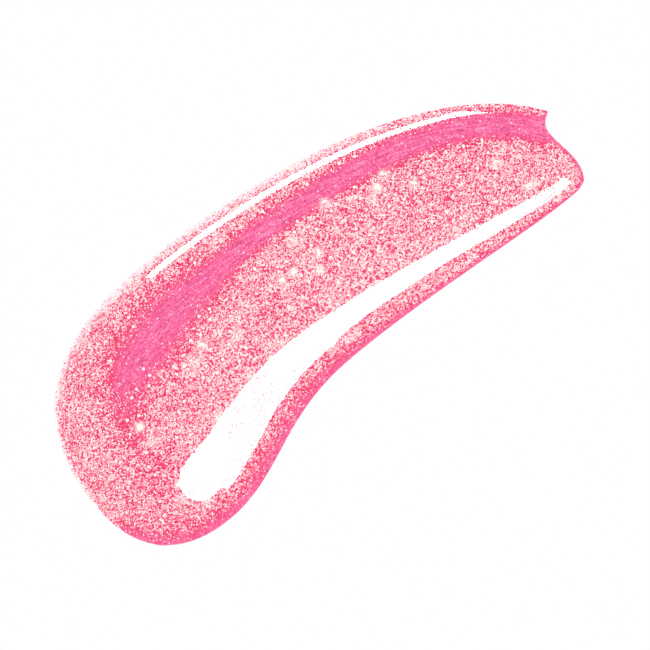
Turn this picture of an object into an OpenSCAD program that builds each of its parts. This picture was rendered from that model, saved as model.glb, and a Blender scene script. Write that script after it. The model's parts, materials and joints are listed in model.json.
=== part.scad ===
// A smear of glitter lip gloss, drawn out along +X from a thick start to a thin, cut-off end.
// It lies on the plane z = 0 with the origin under the middle of its box.
// The glitter is suspended in the gel: each flake fills a pocket of its own shape.

/* [Stroke] */
// Overall length of the smear
stroke_l = 42.3; // [34:0.1:56]
// Overall width of the smear
stroke_w = 17.7; // [14:0.1:26]
// Height of the gel where the stroke starts
start_h = 2.4; // [1.8:0.1:4]
// Height of the gel where the applicator left it
end_h = 0.8; // [0.6:0.05:1.6]

/* [Edges] */
// Width of the rounded bead along the lower edge, at the start
bead_start_w = 6.6; // [3:0.1:8]
// Width of the rounded bead along the lower edge, at the end
bead_end_w = 1.7; // [1:0.1:3]
// Width of the rounded lip along the upper edge
lip_w = 1.6; // [1:0.1:3]
// Height of the lip along the upper edge
lip_h = 0.75; // [0.6:0.05:1.5]

/* [Trough] */
// Distance of the trough's middle from the upper edge, at the start
trough_start_in = 4; // [3:0.1:5]
// Distance of the trough's middle from the upper edge, at the end
trough_end_in = 1.3; // [1:0.1:3]
// Width of the trough
trough_w = 2.3; // [1.5:0.1:3.5]
// Depth of the trough
trough_d = 0.06; // [0:0.01:0.2]

/* [Glitter] */
// Width across corners of a star flake
star_d = 0.5; // [0.4:0.02:0.6]
// Width across corners of a coarse flake
coarse_d = 0.24; // [0.2:0.02:0.36]
// Thickness of every flake
flake_t = 0.04; // [0.02:0.01:0.06]
// Largest lean of a flake, in degrees
flake_lean = 14; // [0:1:20]
// Least gel left over a flake
flake_cover = 0.06; // [0.04:0.01:0.15]
// How much deeper than that the deepest flakes lie
flake_depth = 0.1; // [0:0.01:0.15]
// Least gap between two flakes
flake_gap = 0.1; // [0.05:0.05:1]
// Distance of the outermost flakes from the edge of the gel
flake_in = 0.9; // [0.8:0.05:2]

/* [Smoothness] */
// Facets between the edge and the spine
rings = 14; // [10:1:20]

/* [Hidden] */

// The line that the upper and lower halves of the gel meet along, and the outline's stretches:
// Bezier curves in shares of half the length and half the width.
spine = [[-0.57, 0], [-0.3, 0], [0.2, 0.42], [0.8, -0.28]];
lower_swell = [[-0.68, -1], [-0.46, -1], [-0.34, -0.65], [-0.05, -0.64]];
lower_edge = [[-0.05, -0.64], [0.28, -0.63], [0.68, -0.78], [0.88, -0.78]];
end_corner = [[0.88, -0.78], [0.93, -0.78], [0.965, -0.76], [0.967, -0.56]];
end_edge = [[0.967, -0.56], [0.968, -0.48], [0.956, -0.38], [0.956, -0.28]];
end_notch = [[0.956, -0.28], [0.956, -0.2], [0.975, -0.17], [1, -0.14]];
upper_edge = [[1, -0.14], [0.775, 0.7], [0.1, 1], [-0.378, 1]];
start_top = [[-0.378, 1], [-0.72, 1], [-1, 0.74], [-1, -0.24]];
start_bottom = [[-1, -0.24], [-1, -0.74], [-0.88, -1], [-0.68, -1]];

spine_steps = 54;
swell_steps = 24;
corner_steps = 8;
end_steps = 4;
notch_steps = 6;
start_steps = 18;
swell_share = swell_steps / spine_steps;
// Share of the lip's profile at the far left of the start, and halfway up the end
start_lip = 0.35;
end_lip = 0.5;
// Powers that shape how the spine falls towards the end, and crowd the facets near the edge
spine_fall = 1.4;
edge_crowding = 1.3;

function mix(a, b, t) = a + (b - a) * t;
function ease(t) = let (c = min(max(t, 0), 1)) c * c * (3 - 2 * c);
function bezier(p, t) =
    pow(1 - t, 3) * p[0] + 3 * pow(1 - t, 2) * t * p[1] + 3 * (1 - t) * t * t * p[2] + pow(t, 3) * p[3];
function on_plan(p) = [p.x * stroke_l / 2, p.y * stroke_w / 2];

// Samples of the outline. Each is [plan point, place along the spine, share of the lip's profile],
// and a line from it to its place along the spine crosses one half of the gel.
function stretch(curve, steps, spine_from, spine_to, lip_from, lip_to) = [
    for (i = [0:steps - 1])
        let (t = i / steps)
        [on_plan(bezier(curve, t)), mix(spine_from, spine_to, t), mix(lip_from, lip_to, ease(t))]
];
outline = concat(
    stretch(lower_swell, swell_steps, 0, swell_share, 0, 0),
    stretch(lower_edge, spine_steps - swell_steps, swell_share, 1, 0, 0),
    stretch(end_corner, corner_steps, 1, 1, 0, 0),
    stretch(end_edge, end_steps, 1, 1, 0, end_lip),
    stretch(end_notch, notch_steps, 1, 1, end_lip, 1),
    stretch(upper_edge, spine_steps, 1, 0, 1, 1),
    stretch(start_top, start_steps, 0, 0, 1, start_lip),
    stretch(start_bottom, start_steps, 0, 0, start_lip, 0)
);
count = len(outline);

function spine_point(q) = on_plan(bezier(spine, q));
function spine_h(q) = mix(start_h, end_h, pow(q, spine_fall));
function reach(s) = norm(spine_point(s[1]) - s[0]);
function across(s, t) = mix(s[0], spine_point(s[1]), t);

// Distance of a plan point from the outline
function to_side(p, a, b) =
    let (ab = b - a, t = min(max((p - a) * ab / (ab * ab), 0), 1))
    norm(p - a - ab * t);
function inset(p) = min([for (i = [0:count - 1]) to_side(p, outline[i][0], outline[(i + 1) % count][0])]);
spine_inset = [for (i = [0:spine_steps]) inset(spine_point(i / spine_steps))];

// Height of the gel a share t of the way from the outline's sample s to the spine. It rises from
// the edge as a round bead or lip, and from the lip on as a gentle crown.
function edge_w(s) =
    min(mix(mix(bead_start_w, bead_end_w, s[1]), lip_w, s[2]), spine_inset[round(s[1] * spine_steps)]);
function edge_h(s) = mix(spine_h(s[1]), lip_h, s[2]);
function trough(s, d) =
    let (middle = mix(trough_start_in, trough_end_in, s[1]))
    s[2] * ease(1 - abs(d - middle) / trough_w * 2);
function gel_h(s, t) =
    let (d = inset(across(s, t)), rise = 1 - pow(1 - min(d / edge_w(s), 1), 2))
    rise * mix(edge_h(s), spine_h(s[1]), ease(t)) - trough_d * trough(s, d);

// Rings of points run from the outline in to the spine, closer together near the edge.
function ring_share(k) = pow(k / rings, edge_crowding);
function ring_start(k) = k * count;
spine_top = ring_start(rings);
spine_foot = spine_top + spine_steps + 1;
function spine_index(i) = round(outline[i % count][1] * spine_steps);
function raised(p, z) = [p.x, p.y, z];
function quad(a, b, c, d) = concat(a == b ? [] : [[a, b, c]], c == d ? [] : [[a, c, d]]);

module gel_body() {
    points = concat(
        [for (s = outline) raised(s[0], 0)],
        [for (k = [1:rings - 1]) for (s = outline)
            let (t = ring_share(k))
            raised(across(s, t), gel_h(s, t))],
        [for (i = [0:spine_steps]) let (q = i / spine_steps) raised(spine_point(q), spine_h(q))],
        [for (i = [0:spine_steps]) raised(spine_point(i / spine_steps), 0)]
    );
    around = [for (i = [0:count - 1]) [i, (i + 1) % count]];
    faces = concat(
        [for (k = [0:rings - 2]) for (e = around)
            let (outer = ring_start(k), inner = ring_start(k + 1))
            each quad(outer + e[1], outer + e[0], inner + e[0], inner + e[1])],
        [for (e = around)
            let (last = ring_start(rings - 1))
            each quad(last + e[1], last + e[0], spine_top + spine_index(e[0]), spine_top + spine_index(e[1]))],
        [for (e = around)
            each quad(e[0], e[1], spine_foot + spine_index(e[1]), spine_foot + spine_index(e[0]))]
    );
    polyhedron(points = points, faces = faces, convexity = 4);
}

// Candidates for a flake's place lie along every second line from the outline to the spine. A flake
// lies where no earlier candidate is closer than a flake and a gap, and not in the trough, which the
// applicator wiped clear. A seat is [outline sample, share towards the spine, draws], and its
// draws, from 0 to 1, are for its kind, two leans, turn and depth.
flake_pitch = star_d + flake_gap;
line_step = 2;
wiped_from = 0.1;
seed = 7;
candidates = [
    for (i = [0:line_step:count - 1])
        let (
            s = outline[i],
            places = floor((reach(s) - flake_in) / flake_pitch),
            jitter = rands(0, 1, max(places, 1), seed + i)
        )
        for (k = [0:1:places - 1])
            [s, (flake_in + (k + jitter[k]) * flake_pitch) / reach(s)]
];
centres = [for (c = candidates) across(c[0], c[1])];
function is_free(i) = len([for (j = [0:1:i - 1]) if (norm(centres[i] - centres[j]) < flake_pitch) j]) == 0;
seats = [
    for (i = [0:len(candidates) - 1])
        let (s = candidates[i][0], t = candidates[i][1])
        if (trough(s, inset(centres[i])) < wiped_from && is_free(i))
            [s, t, rands(0, 1, 5, seed + count + i)]
];

// A kind's flakes are those whose first draw lies between its own number here and the next.
kind_from = [0, 0.05, 0.08, 0.42, 0.62, 1];
hexagon = 6;

module flake(seat, d) {
    s = seat[0];
    draws = seat[2];
    leans = [for (k = [1, 2]) mix(-flake_lean, flake_lean, draws[k]) / sqrt(2)];
    half_h = d / 2 * sin(flake_lean) + flake_t / 2;
    low_side = max(seat[1] - star_d / 2 / reach(s), 0);
    z = gel_h(s, low_side) - flake_cover - flake_depth * draws[4] - half_h;
    translate(raised(across(s, seat[1]), z))
        rotate([leans[0], leans[1], 360 / hexagon * draws[3]])
            cylinder(d = d, h = flake_t, center = true, $fn = hexagon);
}

module flakes(kind, d) {
    for (seat = seats)
        if (kind_from[kind] <= seat[2][0] && seat[2][0] < kind_from[kind + 1])
            flake(seat, d);
}

module gloss_gel() {
    color([0.93, 0.2, 0.42, 0.8])
        difference() {
            gel_body();
            for (kind = [0, 1])
                flakes(kind, star_d);
            for (kind = [2, 3, 4])
                flakes(kind, coarse_d);
        }
}

module star_flakes_silver() {
    color([0.96, 0.97, 1])
        flakes(0, star_d);
}

module star_flakes_gold() {
    color([1, 0.9, 0.7])
        flakes(1, star_d);
}

module coarse_flakes_silver() {
    color([0.9, 0.91, 0.95])
        flakes(2, coarse_d);
}

module coarse_flakes_gold() {
    color([0.98, 0.85, 0.62])
        flakes(3, coarse_d);
}

module coarse_flakes_rose() {
    color([1, 0.3, 0.5])
        flakes(4, coarse_d);
}

gloss_gel();
star_flakes_silver();
star_flakes_gold();
coarse_flakes_silver();
coarse_flakes_gold();
coarse_flakes_rose();
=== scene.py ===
# %% [markdown]
# # A smear of glitter lip gloss
#
# Lip gloss is a clear, sticky gel packed with glitter. Wiped onto a flat surface, it keeps a rounded
# bead along one edge, a thin lip along the other, and the shallow trough that the applicator's tip
# left between them.
#
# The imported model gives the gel's shape and the coarse flakes. Everything here is built inside that
# shape: the wet skin of the gel, the bed of shimmer below it, the fine glitter between the two, and
# the finishes.

# %% Load the frame
import json
import math

import bpy
import numpy as np
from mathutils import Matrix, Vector
from mathutils.kdtree import KDTree

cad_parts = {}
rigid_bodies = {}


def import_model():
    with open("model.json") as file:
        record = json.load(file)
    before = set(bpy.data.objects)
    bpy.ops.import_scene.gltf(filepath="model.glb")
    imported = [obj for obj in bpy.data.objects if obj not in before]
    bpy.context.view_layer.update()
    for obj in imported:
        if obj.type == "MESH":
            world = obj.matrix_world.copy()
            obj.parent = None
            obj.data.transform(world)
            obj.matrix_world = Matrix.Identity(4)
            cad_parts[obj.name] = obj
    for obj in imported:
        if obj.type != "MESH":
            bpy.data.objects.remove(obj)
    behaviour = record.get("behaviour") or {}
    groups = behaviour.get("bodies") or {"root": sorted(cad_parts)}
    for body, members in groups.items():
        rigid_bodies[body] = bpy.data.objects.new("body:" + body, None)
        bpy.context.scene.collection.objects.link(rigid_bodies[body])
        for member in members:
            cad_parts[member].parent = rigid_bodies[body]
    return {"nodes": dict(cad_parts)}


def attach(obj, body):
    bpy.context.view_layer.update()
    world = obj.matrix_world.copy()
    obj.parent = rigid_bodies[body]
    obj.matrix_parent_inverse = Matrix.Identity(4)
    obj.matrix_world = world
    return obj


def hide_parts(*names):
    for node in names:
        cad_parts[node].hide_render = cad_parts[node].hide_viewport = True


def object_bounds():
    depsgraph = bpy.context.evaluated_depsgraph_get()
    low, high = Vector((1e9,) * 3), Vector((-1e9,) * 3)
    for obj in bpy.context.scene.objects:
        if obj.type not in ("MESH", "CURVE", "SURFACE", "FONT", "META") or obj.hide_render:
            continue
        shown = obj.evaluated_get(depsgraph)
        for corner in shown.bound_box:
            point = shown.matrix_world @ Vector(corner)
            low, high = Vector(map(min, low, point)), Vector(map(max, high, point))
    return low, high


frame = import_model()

MM = 0.001
BODY = "root"
SMOOTH_ANGLE = math.radians(60)
cad_low, cad_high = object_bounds()
middle = (cad_low + cad_high) / 2
print("CAD box in mm:", [round(side / MM, 2) for side in cad_high - cad_low])

# %% [markdown]
# ## The camera
#
# The smear is seen from straight above, through a long lens, so that nothing looks nearer than the
# rest. The stroke runs up to the right in the picture. Rolling the camera turns the picture without
# moving the model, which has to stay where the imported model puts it. The framing is a share of the
# smear's length, so it follows its size.

# %% Camera
ROLL = math.radians(40)
LENS = 200
FRAMED_WIDTH = 1.0757
AIM_OFFSET = Vector((-0.0135, -0.0628, 0))
NEAREST_SEEN = 0.01

stroke_length = cad_high.x - cad_low.x
bpy.ops.object.camera_add()
camera = bpy.context.object
camera.data.lens = LENS
camera.data.clip_start = NEAREST_SEEN
distance = FRAMED_WIDTH * stroke_length * LENS / camera.data.sensor_width
camera.location = middle + AIM_OFFSET * stroke_length + Vector((0, 0, distance))
camera.rotation_euler = (0, 0, -ROLL)
bpy.context.scene.camera = camera
print(f"The camera is {distance:.3f} m above the smear")

# %% [markdown]
# ## The table, the light and the exposure
#
# White paper under bright, even light comes out as plain white, so the paper glows evenly for whoever
# looks at it, and reflects light like paper only onto other things. The world is an even white, as
# inside a light tent, and lamps stand in it: a broad softbox beside the bead with a round one at its
# end, and a narrow strip beyond the lip. Gloss shows its lamps: the long white shapes on the gel are
# their mirror images, so a lamp's size and place draw them. The lamps light only the skin, because
# the tent already lights the rest.

# %% A helper for materials
def material(name):
    """A new material, with its nodes, its link function and its Principled BSDF."""
    finish = bpy.data.materials.new(name)
    finish.use_nodes = True
    nodes = finish.node_tree.nodes
    return finish, nodes, finish.node_tree.links.new, nodes["Principled BSDF"]


# %% Table
WHITE = (1, 1, 1, 1)
PAPER_WHITE = (0.9, 0.9, 0.9, 1)
TABLE_SIDE = 3
TABLE_GAP = 0.005 * MM

bpy.ops.mesh.primitive_plane_add(size=TABLE_SIDE, location=(0, 0, cad_low.z - TABLE_GAP))
table = bpy.context.object
table.name = "table"
paper, nodes, link, shader = material("white_paper")
shader.inputs["Base Color"].default_value = PAPER_WHITE
shader.inputs["Roughness"].default_value = 0.9
shader.inputs["Specular IOR Level"].default_value = 0
glow = nodes.new("ShaderNodeEmission")
glow.inputs["Color"].default_value = WHITE
light_path = nodes.new("ShaderNodeLightPath")
seen_or_lit = nodes.new("ShaderNodeMixShader")
link(light_path.outputs["Is Diffuse Ray"], seen_or_lit.inputs["Fac"])
link(glow.outputs[0], seen_or_lit.inputs[1])
link(shader.outputs[0], seen_or_lit.inputs[2])
link(seen_or_lit.outputs[0], nodes["Material Output"].inputs["Surface"])
table.data.materials.append(paper)
print("table:", TABLE_SIDE, "m wide,", round(TABLE_GAP / MM, 3), "mm below the smear")

# %% World
TENT_STRENGTH = 1.08
world = bpy.data.worlds.new("tent")
bpy.context.scene.world = world
world.use_nodes = True
world.node_tree.nodes["Background"].inputs["Color"].default_value = WHITE
world.node_tree.nodes["Background"].inputs["Strength"].default_value = TENT_STRENGTH
bpy.context.scene.view_settings.view_transform = "Standard"
print("the tent's white:", TENT_STRENGTH)


# %% Lamps
LAMP_DISTANCE = 0.6
lamplit = bpy.data.collections.new("lamplit")


def softbox(name, zenith, azimuth, high, wide, turn, radiance, shape="RECTANGLE"):
    """A lamp that fills that many degrees, seen from the smear. Azimuth 0 is +X and 90 is +Y."""
    z = math.radians(zenith)
    a = math.radians(azimuth)
    towards = Vector((math.sin(z) * math.cos(a), math.sin(z) * math.sin(a), math.cos(z)))
    bpy.ops.object.light_add(type="AREA", location=middle + towards * LAMP_DISTANCE)
    lamp = bpy.context.object
    lamp.name = name
    lamp.rotation_euler = towards.to_track_quat("Z", "Y").to_euler()
    lamp.rotation_euler.rotate_axis("Z", math.radians(turn))
    lamp.data.shape = shape
    lamp.data.size = 2 * LAMP_DISTANCE * math.tan(math.radians(wide) / 2)
    lamp.data.size_y = 2 * LAMP_DISTANCE * math.tan(math.radians(high) / 2)
    lamp.data.energy = radiance * math.pi * lamp.data.size * lamp.data.size_y
    lamp.visible_camera = False
    lamp.visible_diffuse = False
    lamp.visible_transmission = False
    lamp.light_linking.receiver_collection = lamplit
    print(f"{name}: {lamp.data.size:.2f} x {lamp.data.size_y:.2f} m, {lamp.data.energy:.1f} W")


softbox("bead_softbox", zenith=37.5, azimuth=-78.5, high=40, wide=19.5, turn=0, radiance=20)
softbox(
    "bead_round_softbox", zenith=36, azimuth=-95, high=36, wide=21, turn=0, radiance=18, shape="ELLIPSE"
)
softbox("lip_strip", zenith=55.5, azimuth=70, high=17, wide=38.5, turn=17, radiance=24)

# %% [markdown]
# ## The wet skin
#
# The skin is the gel's outside, where it meets the air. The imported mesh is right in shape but
# faceted, and it also holds the walls of the flakes' pockets. A copy is cleaned in edit mode: the
# triangles are merged, all but the outer shell is deleted, and quads are restored. A crease keeps the
# rim a sharp edge, a Subdivision Surface rounds the rest, and a Smooth modifier evens out what is
# left of the triangles. Modelling it afresh would only risk a different shape.

# %% Helpers for working by hand
def select_only(piece):
    bpy.ops.object.select_all(action="DESELECT")
    piece.select_set(True)
    bpy.context.view_layer.objects.active = piece


def new_piece(name, mesh):
    piece = bpy.data.objects.new(name, mesh)
    bpy.context.scene.collection.objects.link(piece)
    mesh.name = name
    select_only(piece)
    return piece


def apply_modifiers(piece):
    select_only(piece)
    for modifier in list(piece.modifiers):
        bpy.ops.object.modifier_apply(modifier=modifier.name)


def vertex_places(mesh):
    places = np.empty(len(mesh.vertices) * 3)
    mesh.vertices.foreach_get("co", places)
    return places.reshape(-1, 3)


def report(piece):
    places = vertex_places(piece.data)
    sides = places.max(axis=0) - places.min(axis=0)
    triangles = sum(len(face.vertices) - 2 for face in piece.data.polygons)
    print(piece.name, triangles, "triangles, sides in mm:", np.round(sides / MM, 2))


# %% Skin: clean up the copy
MERGE_WITHIN = 0.001 * MM
QUAD_ANGLE = math.radians(60)
RIM_SHARPNESS = math.radians(80)

skin = new_piece("gloss_skin", frame["nodes"]["gloss_gel"].data.copy())
skin.data.materials.clear()
bpy.ops.object.mode_set(mode="EDIT")
bpy.ops.mesh.select_all(action="SELECT")
bpy.ops.mesh.remove_doubles(threshold=MERGE_WITHIN)
bpy.ops.mesh.select_all(action="DESELECT")
bpy.ops.object.mode_set(mode="OBJECT")
skin.data.vertices[int(vertex_places(skin.data)[:, 0].argmin())].select = True
bpy.ops.object.mode_set(mode="EDIT")
bpy.ops.mesh.select_linked()
bpy.ops.mesh.select_all(action="INVERT")
bpy.ops.mesh.delete(type="VERT")
bpy.ops.mesh.select_all(action="SELECT")
bpy.ops.mesh.tris_convert_to_quads(face_threshold=QUAD_ANGLE, shape_threshold=QUAD_ANGLE)
bpy.ops.mesh.select_all(action="DESELECT")
bpy.ops.mesh.edges_select_sharp(sharpness=RIM_SHARPNESS)
bpy.ops.transform.edge_crease(value=1)
bpy.ops.object.mode_set(mode="OBJECT")
on_rim = {corner for edge in skin.data.edges if edge.select for corner in edge.vertices}
rim = vertex_places(skin.data)[sorted(on_rim)]
print(len(rim), "points on the rim")

# %% Skin: round and even it
ROUND_LEVELS = 2
EVEN_ABOVE = 0.03 * MM
EVEN_SHARE = 0.5
EVEN_REPEATS = 28

rounding = skin.modifiers.new("round", "SUBSURF")
rounding.levels = ROUND_LEVELS
rounding.render_levels = ROUND_LEVELS
apply_modifiers(skin)
height = vertex_places(skin.data)[:, 2] - cad_low.z
raised = skin.vertex_groups.new(name="raised")
raised.add([int(index) for index in np.flatnonzero(height > EVEN_ABOVE)], 1, "REPLACE")
even = skin.modifiers.new("even", "SMOOTH")
even.factor = EVEN_SHARE
even.iterations = EVEN_REPEATS
even.vertex_group = "raised"
apply_modifiers(skin)
skin.vertex_groups.clear()
bpy.ops.object.shade_smooth_by_angle(angle=SMOOTH_ANGLE)
report(skin)

# %% [markdown]
# ## Where the applicator passed, and a painted shade along the lower rim
#
# Several finishes change across the stroke. The trough holds little glitter. A band of deeper
# magenta along the lower edge is partly the thicker gel's colour and partly painted shade of the
# steep edge. Distances from the rim describe that at every point. They are worked out once for each
# vertex and stored on the mesh as attributes, which a material can read and which don't slide when
# the view changes.

# %% Sizes of the trough, the painted rim shade and the film
TROUGH_BENDS = (0.22, 0.37, 0.5, 1)
TROUGH_IN = (4.6 * MM, 3.8 * MM, 3.1 * MM, 1.3 * MM)
TROUGH_HALF = (0.9 * MM, 1.9 * MM, 0.9 * MM)
TROUGH_WIDENS = (0.08, 0.24)
TROUGH_NARROWS = (0.27, 0.46)
TROUGH_SOFT = (1.8 * MM, 0.6 * MM)
TROUGH_FADES_IN = (0.04, 0.2)
PAINTED_SHADE_WIDTH = (2.1 * MM, 0.6 * MM)
PAINTED_SHADE_STARTS = (0.5 * MM, 4 * MM)
PAINTED_SHADE_NARROWS = (18 * MM, 36 * MM)
PAINTED_SHADE_STRENGTH = 0.8
FILM_WIDTH = (0.55 * MM, 1.15 * MM)
FILM_WIDENS = (0.03, 0.2)
FILM_ENDS = (0.62, 0.86)
print("the trough runs", round(TROUGH_IN[0] / MM, 1), "to", round(TROUGH_IN[-1] / MM, 1), "mm in")


# %% Distances from a line
def ease(low, high, value):
    share = np.clip((value - low) / (high - low), 0, 1)
    return share * share * (3 - 2 * share)


def blend(pair, share):
    return pair[0] + (pair[1] - pair[0]) * share


def nearest(points, line):
    """Distance of each point from a line through the given corners, and how far along the line that is."""
    best = np.full(len(points), np.inf)
    along = np.zeros(len(points))
    run = 0
    for start, end in zip(line[:-1, :2], line[1:, :2]):
        step = end - start
        share = np.clip(((points[:, :2] - start) @ step) / (step @ step), 0, 1)
        away = np.linalg.norm(points[:, :2] - start - share[:, None] * step, axis=1)
        along = np.where(away < best, run + share * np.linalg.norm(step), along)
        best = np.minimum(best, away)
        run += np.linalg.norm(step)
    return best, along


rim = rim[np.argsort(np.arctan2(rim[:, 1] - middle.y, rim[:, 0] - middle.x))]
rim = np.roll(rim, -int(rim[:, 0].argmax()), axis=0)
upper_rim = rim[: int(rim[:, 0].argmin()) + 1]
lower_rim = np.vstack([rim[int(rim[:, 0].argmin()) :], rim[:1]])
print("upper edge", len(upper_rim), "points, lower edge", len(lower_rim), "points")


# %% Edge measures
def store(mesh, name, values):
    layer = mesh.attributes.get(name) or mesh.attributes.new(name, "FLOAT", "POINT")
    layer.data.foreach_set("value", values.astype(np.float32))


def measure(mesh):
    places = vertex_places(mesh)
    from_upper, upper_run = nearest(places, upper_rim)
    from_lower, lower_run = nearest(places, lower_rim)
    length_share = (places[:, 0] - cad_low.x) / stroke_length
    off_middle = np.abs(from_upper - np.interp(length_share, TROUGH_BENDS, TROUGH_IN))
    narrowed = ease(*TROUGH_NARROWS, length_share)
    half = blend(TROUGH_HALF[:2], ease(*TROUGH_WIDENS, length_share))
    half += (TROUGH_HALF[2] - TROUGH_HALF[1]) * narrowed
    soft = blend(TROUGH_SOFT, narrowed)
    trough = 1 - ease(half - soft, half + soft, off_middle)
    trough *= ease(*TROUGH_FADES_IN, length_share)
    # Painted shade: a deeper band along the lower rim. It stands for the shade of the steep edge as much
    # as for the thicker gel.
    painted_rim_shade = 1 - ease(0, blend(PAINTED_SHADE_WIDTH, ease(*PAINTED_SHADE_NARROWS, lower_run)), from_lower)
    painted_rim_shade *= PAINTED_SHADE_STRENGTH * ease(*PAINTED_SHADE_STARTS, lower_run)
    film = 1 - ease(0, blend(FILM_WIDTH, ease(*FILM_WIDENS, length_share)), from_upper)
    film *= 1 - ease(*FILM_ENDS, length_share)
    measures = {
        "across": from_upper / MM,
        "along": upper_run / MM,
        "from_rim": np.minimum(from_upper, from_lower) / MM,
        "bare_and_painted_shade": 1 - (1 - trough) * (1 - painted_rim_shade),
        "film": film,
    }
    for name, values in measures.items():
        store(mesh, name, values)
    return measures


# %% [markdown]
# ## The shimmer bed
#
# A fifth of a millimetre down, the glitter is so dense that nothing shows through it: that is the
# shimmer bed. It follows the skin, so it is made from it. A Displace modifier shrinks a copy along
# its normals, less and less towards the rim, where the gel itself runs out, and only a little where
# it faces the table. The few points that a slope pushes below the table are lifted back.

# %% Shimmer bed
# These measures are in mm.
BED_DEPTH = 0.2
BED_DEPTH_AT_RIM = 0.02
BED_IN_AT_RIM = 0.05
BED_OFF_TABLE = 0.015
BED_SLOPE_WIDTH = 0.6
NEARLY_NOTHING = 0.001

bed = new_piece("shimmer_bed", skin.data.copy())
from_rim = measure(bed.data)["from_rim"]
depth = BED_DEPTH_AT_RIM + (BED_DEPTH - BED_DEPTH_AT_RIM) * ease(0, BED_SLOPE_WIDTH, from_rim)
depth[vertex_places(bed.data)[:, 2] < cad_low.z + NEARLY_NOTHING * MM] = BED_OFF_TABLE
depth[from_rim < NEARLY_NOTHING] = BED_IN_AT_RIM
sinking = bed.vertex_groups.new(name="sinking")
for index, share in enumerate(depth / BED_DEPTH):
    sinking.add([index], float(share), "REPLACE")
sink = bed.modifiers.new("sink", "DISPLACE")
sink.direction = "NORMAL"
sink.mid_level = 0
sink.strength = -BED_DEPTH * MM
sink.vertex_group = "sinking"
apply_modifiers(bed)
bed.vertex_groups.clear()
places = vertex_places(bed.data)
places[:, 2] = np.maximum(places[:, 2], cad_low.z + NEARLY_NOTHING * MM)
bed.data.vertices.foreach_set("co", places.ravel())
bed.data.update()
bpy.ops.object.shade_smooth_by_angle(angle=SMOOTH_ANGLE)
report(bed)

# %% [markdown]
# Around each large flake, a glow is painted into the shimmer's colour. It turns the shimmer cream
# there, as if the flake threw light back into the gel. Each point of the bed looks up its nearest
# flake corner in a KD tree, and the painted glow fades with that distance.

# %% Painted glow around the star flakes
PAINTED_GLOW_REACH = 0.16 * MM

star_names = ("star_flakes_silver", "star_flakes_gold")
stars = np.vstack([vertex_places(frame["nodes"][name].data) for name in star_names])
flake_corners = KDTree(len(stars))
for index, corner in enumerate(stars):
    flake_corners.insert(corner, index)
flake_corners.balance()
to_star = np.array([flake_corners.find(place)[2] for place in vertex_places(bed.data)])
store(bed.data, "glow", np.exp(-((to_star / PAINTED_GLOW_REACH) ** 2)))
print("reached by a star flake's glow:", int((to_star < PAINTED_GLOW_REACH).sum()), "vertices")

# %% [markdown]
# ## Fine glitter
#
# Real glitter is punched from thin film as tiny hexagons. One hexagon is modelled, and Geometry Nodes
# lays thousands of copies over the bed: points are spread over its upper faces, no two closer than a
# grain, each point is lifted a little, and each copy leans and turns by its own seeded draw. The
# spread thins out where the applicator wiped, and each copy keeps one more draw, its shade, as an
# attribute for the material.

# %% Glitter amount on the bed
BARE_KEEPS = 0.03
FILM_KEEPS = 0.6
GLITTER_FROM_RIM = (0.12, 0.3)
bed_measures = measure(bed.data)
glitter_amount = 1 - (1 - BARE_KEEPS) * bed_measures["bare_and_painted_shade"]
glitter_amount *= 1 - (1 - FILM_KEEPS) * bed_measures["film"]
glitter_amount *= ease(*GLITTER_FROM_RIM, bed_measures["from_rim"])
store(bed.data, "glitter", glitter_amount)
print("mean glitter amount:", round(float(glitter_amount.mean()), 2))


# %% One hexagon of glitter
GRAIN = 0.1 * MM
GRAIN_THICKNESS = GRAIN / 8

bpy.ops.mesh.primitive_cylinder_add(vertices=6, radius=GRAIN / 2, depth=GRAIN_THICKNESS)
grain = bpy.context.object
grain.name = "grain"
report(grain)


# %% Scattering with Geometry Nodes
FACES_UP_FROM = 0.2


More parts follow.
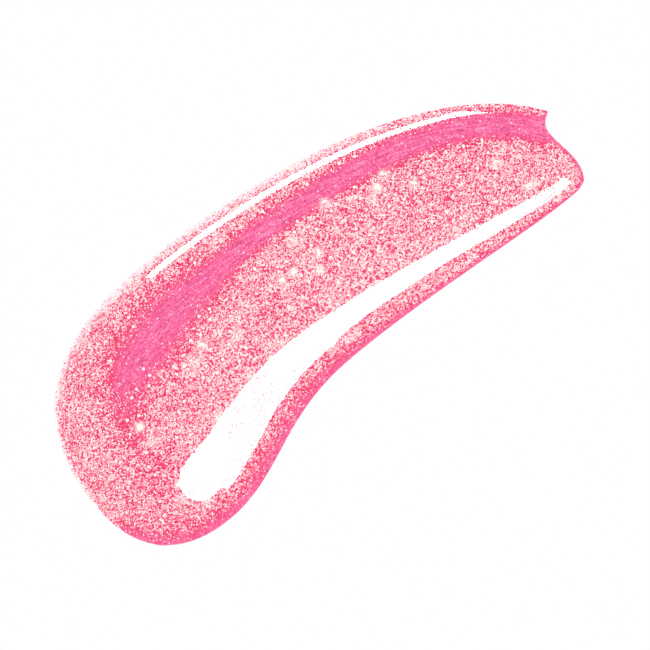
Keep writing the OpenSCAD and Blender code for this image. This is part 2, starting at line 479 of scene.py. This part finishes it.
def scatter(name, flake, per_mm2, apart, lift, lean, seed):
    """A piece of many copies of flake, spread over the bed."""
    tree = bpy.data.node_groups.new(name, "GeometryNodeTree")
    tree.interface.new_socket("Bed", in_out="INPUT", socket_type="NodeSocketGeometry")
    tree.interface.new_socket("Glitter", in_out="OUTPUT", socket_type="NodeSocketGeometry")
    add = tree.nodes.new
    link = tree.links.new
    bed_in = add("NodeGroupInput")
    out = add("NodeGroupOutput")

    normal = add("GeometryNodeInputNormal")
    normal_parts = add("ShaderNodeSeparateXYZ")
    faces_up = add("ShaderNodeMath")
    faces_up.operation = "GREATER_THAN"
    faces_up.inputs[1].default_value = FACES_UP_FROM
    link(normal.outputs[0], normal_parts.inputs[0])
    link(normal_parts.outputs["Z"], faces_up.inputs[0])
    glitter = add("GeometryNodeInputNamedAttribute")
    glitter.data_type = "FLOAT"
    glitter.inputs["Name"].default_value = "glitter"
    points = add("GeometryNodeDistributePointsOnFaces")
    points.distribute_method = "POISSON"
    points.inputs["Distance Min"].default_value = apart
    points.inputs["Density Max"].default_value = per_mm2 / MM**2
    points.inputs["Seed"].default_value = seed
    link(bed_in.outputs[0], points.inputs["Mesh"])
    link(faces_up.outputs[0], points.inputs["Selection"])
    link(glitter.outputs["Attribute"], points.inputs["Density Factor"])

    height = add("FunctionNodeRandomValue")
    height.inputs[2].default_value = lift[0]
    height.inputs[3].default_value = lift[1]
    height.inputs["Seed"].default_value = seed + 1
    raised = add("GeometryNodeSetPosition")
    upwards = add("ShaderNodeCombineXYZ")
    link(height.outputs[1], upwards.inputs["Z"])
    link(points.outputs["Points"], raised.inputs["Geometry"])
    link(upwards.outputs[0], raised.inputs["Offset"])

    shape = add("GeometryNodeObjectInfo")
    copies = add("GeometryNodeInstanceOnPoints")
    shape.inputs["Object"].default_value = flake
    link(raised.outputs[0], copies.inputs["Points"])
    link(shape.outputs["Geometry"], copies.inputs["Instance"])
    link(points.outputs["Rotation"], copies.inputs["Rotation"])
    draw = add("FunctionNodeRandomValue")
    leaning = add("GeometryNodeRotateInstances")
    draw.data_type = "FLOAT_VECTOR"
    draw.inputs[0].default_value = (-lean, -lean, -math.pi)
    draw.inputs[1].default_value = (lean, lean, math.pi)
    draw.inputs["Seed"].default_value = seed + 2
    link(copies.outputs[0], leaning.inputs["Instances"])
    link(draw.outputs[0], leaning.inputs["Rotation"])
    shade = add("FunctionNodeRandomValue")
    keep_shade = add("GeometryNodeStoreNamedAttribute")
    shade.inputs["Seed"].default_value = seed + 3
    keep_shade.domain = "INSTANCE"
    keep_shade.inputs["Name"].default_value = "shade"
    link(leaning.outputs[0], keep_shade.inputs["Geometry"])
    link(shade.outputs[1], keep_shade.inputs["Value"])
    real = add("GeometryNodeRealizeInstances")
    link(keep_shade.outputs[0], real.inputs[0])
    link(real.outputs[0], out.inputs[0])

    piece = new_piece(name, bed.data.copy())
    piece.modifiers.new("scatter", "NODES").node_group = tree
    apply_modifiers(piece)
    piece.data.materials.clear()
    report(piece)
    return piece


# %% Glitter pieces
GRAIN_APART = 0.08 * MM
GRAIN_LIFT = (0.02 * MM, 0.1 * MM)
GRAIN_LEAN = math.radians(22)
GRAINS_PER_MM2 = {"silver": 16, "champagne": 12, "blush": 8, "rose": 16}
SEEDS_APART = 10

glitter_pieces = {}
for order, (name, per_mm2) in enumerate(GRAINS_PER_MM2.items()):
    glitter_pieces[name] = scatter(
        f"fine_glitter_{name}", grain, per_mm2, GRAIN_APART, GRAIN_LIFT, GRAIN_LEAN, SEEDS_APART * order
    )
bpy.data.objects.remove(grain)

# %% [markdown]
# ## Finishes
#
# The skin is clear gel: glass with a little pink in it, as smooth as a liquid. Light has to reach the
# glitter below, and a path tracer would cast a glass object's shadow on it, so for shadow rays the
# skin is plain clear.

# %% Wet gel
SKIN_TINT = (1, 0.93, 0.95, 1)
GEL_IOR = 1.46
GEL_ROUGHNESS = 0.02

gel, nodes, link, shader = material("wet_gel")
shader.inputs["Base Color"].default_value = SKIN_TINT
shader.inputs["Roughness"].default_value = GEL_ROUGHNESS
shader.inputs["IOR"].default_value = GEL_IOR
shader.inputs["Transmission Weight"].default_value = 1
clear = nodes.new("ShaderNodeBsdfTransparent")
light_path = nodes.new("ShaderNodeLightPath")
clear.inputs["Color"].default_value = SKIN_TINT
surface = shader.outputs[0]
for kind_of_ray in ("Is Shadow Ray", "Is Diffuse Ray"):
    mixed = nodes.new("ShaderNodeMixShader")
    link(light_path.outputs[kind_of_ray], mixed.inputs["Fac"])
    link(surface, mixed.inputs[1])
    link(clear.outputs[0], mixed.inputs[2])
    surface = mixed.outputs[0]
link(surface, nodes["Material Output"].inputs["Surface"])
skin.data.materials.append(gel)
print("wet gel: IOR", GEL_IOR)

# %% [markdown]
# The bed's own grain is a Voronoi pattern: each cell is a grain of glitter seen edge on or out of
# focus, with its own shade between deep pink and cream. Slow noise makes some patches paler than
# others. The pattern is a node group, so that every finish can share it.

# %% Grain pattern
FINE_GRAINS_PER_MM = 10.5
PATCHINESS = 0.4
PATCH_SCALE = 0.4


def grain_group():
    group = bpy.data.node_groups.new("grain", "ShaderNodeTree")
    size = group.interface.new_socket("Grains per mm", in_out="INPUT", socket_type="NodeSocketFloat")
    size.default_value = FINE_GRAINS_PER_MM
    patches = group.interface.new_socket("Patches", in_out="INPUT", socket_type="NodeSocketFloat")
    patches.default_value = PATCHINESS
    group.interface.new_socket("Shade", in_out="OUTPUT", socket_type="NodeSocketFloat")
    group.interface.new_socket("Second Draw", in_out="OUTPUT", socket_type="NodeSocketFloat")
    add = group.nodes.new
    link = group.links.new
    group_in = add("NodeGroupInput")
    group_out = add("NodeGroupOutput")
    place = add("ShaderNodeTexCoord")
    in_mm = add("ShaderNodeVectorMath")
    in_mm.operation = "SCALE"
    in_mm.inputs["Scale"].default_value = 1 / MM
    link(place.outputs["Object"], in_mm.inputs[0])

    cells = add("ShaderNodeTexVoronoi")
    draws = add("ShaderNodeSeparateColor")
    link(in_mm.outputs[0], cells.inputs["Vector"])
    link(group_in.outputs["Grains per mm"], cells.inputs["Scale"])
    link(cells.outputs["Color"], draws.inputs[0])
    link(draws.outputs["Green"], group_out.inputs["Second Draw"])

    clouds = add("ShaderNodeTexNoise")
    centred = add("ShaderNodeMath")
    shifted = add("ShaderNodeMath")
    clouds.inputs["Scale"].default_value = PATCH_SCALE
    clouds.inputs["Detail"].default_value = 3
    centred.operation = "SUBTRACT"
    centred.inputs[1].default_value = 0.5
    shifted.operation = "MULTIPLY_ADD"
    link(in_mm.outputs[0], clouds.inputs["Vector"])
    link(clouds.outputs["Fac"], centred.inputs[0])
    link(centred.outputs[0], shifted.inputs[0])
    link(group_in.outputs["Patches"], shifted.inputs[1])
    link(draws.outputs["Red"], shifted.inputs[2])
    link(shifted.outputs[0], group_out.inputs["Shade"])
    return group


grain_pattern = grain_group()
print("grain pattern:", len(grain_pattern.nodes), "nodes")


# %% Helpers for materials
def colour_ramp(nodes, stops):
    ramp = nodes.new("ShaderNodeValToRGB")
    while len(ramp.color_ramp.elements) < len(stops):
        ramp.color_ramp.elements.new(0.5)
    for element, (place, colour) in zip(ramp.color_ramp.elements, stops):
        element.position = place
        element.color = (*colour, 1)
    return ramp


def read_attribute(nodes, name):
    read = nodes.new("ShaderNodeAttribute")
    read.attribute_name = name
    return read.outputs["Fac"]


def multiply_add(nodes, link, value, factor, addend):
    sum_node = nodes.new("ShaderNodeMath")
    sum_node.operation = "MULTIPLY_ADD"
    for socket, given in zip(sum_node.inputs, (value, factor, addend)):
        if isinstance(given, (int, float)):
            socket.default_value = given
        else:
            link(given, socket)
    return sum_node.outputs[0]


def mix_colours(nodes, link, factor, first, second):
    mix = nodes.new("ShaderNodeMix")
    mix.data_type = "RGBA"
    link(factor, mix.inputs["Factor"])
    link(first, mix.inputs["A"])
    if isinstance(second, tuple):
        mix.inputs["B"].default_value = (*second, 1)
    else:
        link(second, mix.inputs["B"])
    return mix.outputs["Result"]


# %% [markdown]
# Where glitter is missing, the shimmer first loses its cream grains and then turns to satin magenta,
# drawn out in fine lines by the applicator. Along the lower rim, the same mask paints that magenta as
# painted shade of the steep edge, on top of the thicker gel's colour. Along the upper edge, a thin
# film fades out to the paper's white. Around the star flakes, a cream glow is painted in. Colours that
# mix by a mask do all this, so one material covers the whole bed.

# %% Colours of the shimmer
RED = (0.84, 0.01, 0.13)
DEEP_PINK = (0.94, 0.07, 0.25)
PINK = (1, 0.27, 0.44)
PALE = (1, 0.62, 0.7)
CREAM = (1, 0.99, 0.92)
VIOLET = (0.66, 0.06, 0.24)
MAGENTA = (0.92, 0.12, 0.34)
ROSE = (1, 0.33, 0.56)
FILM = (1, 0.9, 0.93)
SHIMMER_STOPS = [(0.18, RED), (0.41, DEEP_PINK), (0.53, PINK), (0.62, PALE), (0.72, CREAM)]
SATIN_STOPS = [(0.15, VIOLET), (0.4, MAGENTA), (0.6, MAGENTA), (0.78, ROSE)]
print("shimmer:", len(SHIMMER_STOPS), "colours, satin:", len(SATIN_STOPS))

# %% Sparkling shimmer
BARE_AND_PAINTED_SHADE_DARKENS = 0.5
FILM_LIGHTENS = 0.25

shimmer, nodes, link, shader = material("shimmer")
grains = nodes.new("ShaderNodeGroup")
grains.node_tree = grain_pattern
bare_and_painted_shade = read_attribute(nodes, "bare_and_painted_shade")
film = read_attribute(nodes, "film")
# The trough, and the painted shade along the lower rim, pull the grain's tone towards the deep colours.
shade = multiply_add(nodes, link, bare_and_painted_shade, -BARE_AND_PAINTED_SHADE_DARKENS, grains.outputs["Shade"])
shade = multiply_add(nodes, link, film, FILM_LIGHTENS, shade)
shades = colour_ramp(nodes, SHIMMER_STOPS)
link(shade, shades.inputs[0])
print("sparkling shimmer:", len(nodes), "nodes so far")

# %% Satin with its drag lines
DRAG_STRETCH = 16
DRAG_SCALE = 0.5
DRAG_CONTRAST = 1.4
SATIN_GRAIN = 0.6
SATIN_OFFSET = -0.5

drag_place = nodes.new("ShaderNodeCombineXYZ")
drag_lines = nodes.new("ShaderNodeTexNoise")
link(read_attribute(nodes, "along"), drag_place.inputs["X"])
link(multiply_add(nodes, link, read_attribute(nodes, "across"), DRAG_STRETCH, 0), drag_place.inputs["Y"])
link(drag_place.outputs[0], drag_lines.inputs["Vector"])
drag_lines.inputs["Scale"].default_value = DRAG_SCALE
drag_lines.inputs["Detail"].default_value = 2
satin_shade = multiply_add(nodes, link, grains.outputs["Second Draw"], SATIN_GRAIN, SATIN_OFFSET)
satin_shade = multiply_add(nodes, link, drag_lines.outputs["Fac"], DRAG_CONTRAST, satin_shade)
satin = colour_ramp(nodes, SATIN_STOPS)
link(satin_shade, satin.inputs[0])
print("satin: drag lines", DRAG_STRETCH, "times as long as they are wide")

# %% Shimmer, satin and painted rim shade, film and painted glow together
SATIN_GAIN = 1.5
FILM_GAIN = 1.15
PAINTED_GLOW_STRENGTH = 0.85

# Satin magenta fills the trough. As painted shade, it also fills the band along the lower rim.
satin_and_painted_shade_amount = multiply_add(nodes, link, bare_and_painted_shade, SATIN_GAIN, 1 - SATIN_GAIN)
satin_and_painted_shade_amount.node.use_clamp = True
film_amount = multiply_add(nodes, link, film, FILM_GAIN, 0)
film_amount = multiply_add(nodes, link, grains.outputs["Second Draw"], -1, film_amount)
film_amount.node.use_clamp = True
# Painted glow: cream is painted into the bed's colour around each star flake.
painted_glow_amount = multiply_add(nodes, link, read_attribute(nodes, "glow"), PAINTED_GLOW_STRENGTH, 0)
colour = mix_colours(nodes, link, satin_and_painted_shade_amount, shades.outputs[0], satin.outputs[0])
colour = mix_colours(nodes, link, film_amount, colour, FILM)
colour = mix_colours(nodes, link, painted_glow_amount, colour, CREAM)
link(colour, shader.inputs["Base Color"])
shader.inputs["Roughness"].default_value = 0.5
shader.inputs["Specular IOR Level"].default_value = 0
bed.data.materials.clear()
bed.data.materials.append(shimmer)
print("shimmer:", len(nodes), "nodes")

# %% [markdown]
# A flake is metallised film, so its material is a metal. Its colour runs from deep to bright: a fine
# flake reads the shade that Geometry Nodes drew for it, and a larger one takes it from the grain
# pattern, in big cells.

# %% Foils
LARGE_CELLS_PER_MM = 1.5


def foil(name, deep, bright, roughness, drawn):
    finish, nodes, link, shader = material(name)
    shades = colour_ramp(nodes, [(0, deep), (1, bright)])
    if drawn:
        link(read_attribute(nodes, "shade"), shades.inputs[0])
    else:
        grains = nodes.new("ShaderNodeGroup")
        grains.node_tree = grain_pattern
        grains.inputs["Grains per mm"].default_value = LARGE_CELLS_PER_MM
        link(grains.outputs["Shade"], shades.inputs[0])
    link(shades.outputs[0], shader.inputs["Base Color"])
    shader.inputs["Metallic"].default_value = 1
    shader.inputs["Roughness"].default_value = roughness
    return finish


foils = {
    "fine_glitter_silver": foil("fine_silver", (1, 0.94, 0.94), (1, 1, 1), 0.35, True),
    "fine_glitter_champagne": foil("fine_champagne", (1, 0.86, 0.8), (1, 1, 0.9), 0.35, True),
    "fine_glitter_blush": foil("fine_blush", (0.98, 0.16, 0.33), (1, 0.54, 0.64), 0.4, True),
    "fine_glitter_rose": foil("fine_rose", (0.8, 0.01, 0.13), (0.98, 0.12, 0.3), 0.4, True),
    "star_flakes_silver": foil("star_silver", (1, 0.96, 0.94), (1, 1, 1), 0.3, False),
    "star_flakes_gold": foil("star_champagne", (1, 0.9, 0.8), (1, 0.97, 0.88), 0.3, False),
    "coarse_flakes_silver": foil("coarse_silver", (1, 0.88, 0.9), (1, 1, 0.98), 0.35, False),
    "coarse_flakes_gold": foil("coarse_champagne", (1, 0.84, 0.78), (1, 0.99, 0.9), 0.35, False),
    "coarse_flakes_rose": foil("coarse_rose", (0.85, 0.08, 0.24), (1, 0.36, 0.52), 0.4, False),
}
for name, finish in foils.items():
    piece = bpy.data.objects[name]
    piece.data.materials.clear()
    piece.data.materials.append(finish)
lamplit.objects.link(skin)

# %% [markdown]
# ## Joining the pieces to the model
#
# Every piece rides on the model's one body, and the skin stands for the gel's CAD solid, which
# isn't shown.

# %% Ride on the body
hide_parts("gloss_gel")
slots = {skin: "gloss_gel", bed: "gloss_gel"}
for name, piece in glitter_pieces.items():
    slots[piece] = {"silver": "silver_foil", "champagne": "gold_foil"}.get(name, "rose_foil")
for piece, slot_name in slots.items():
    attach(piece, BODY)
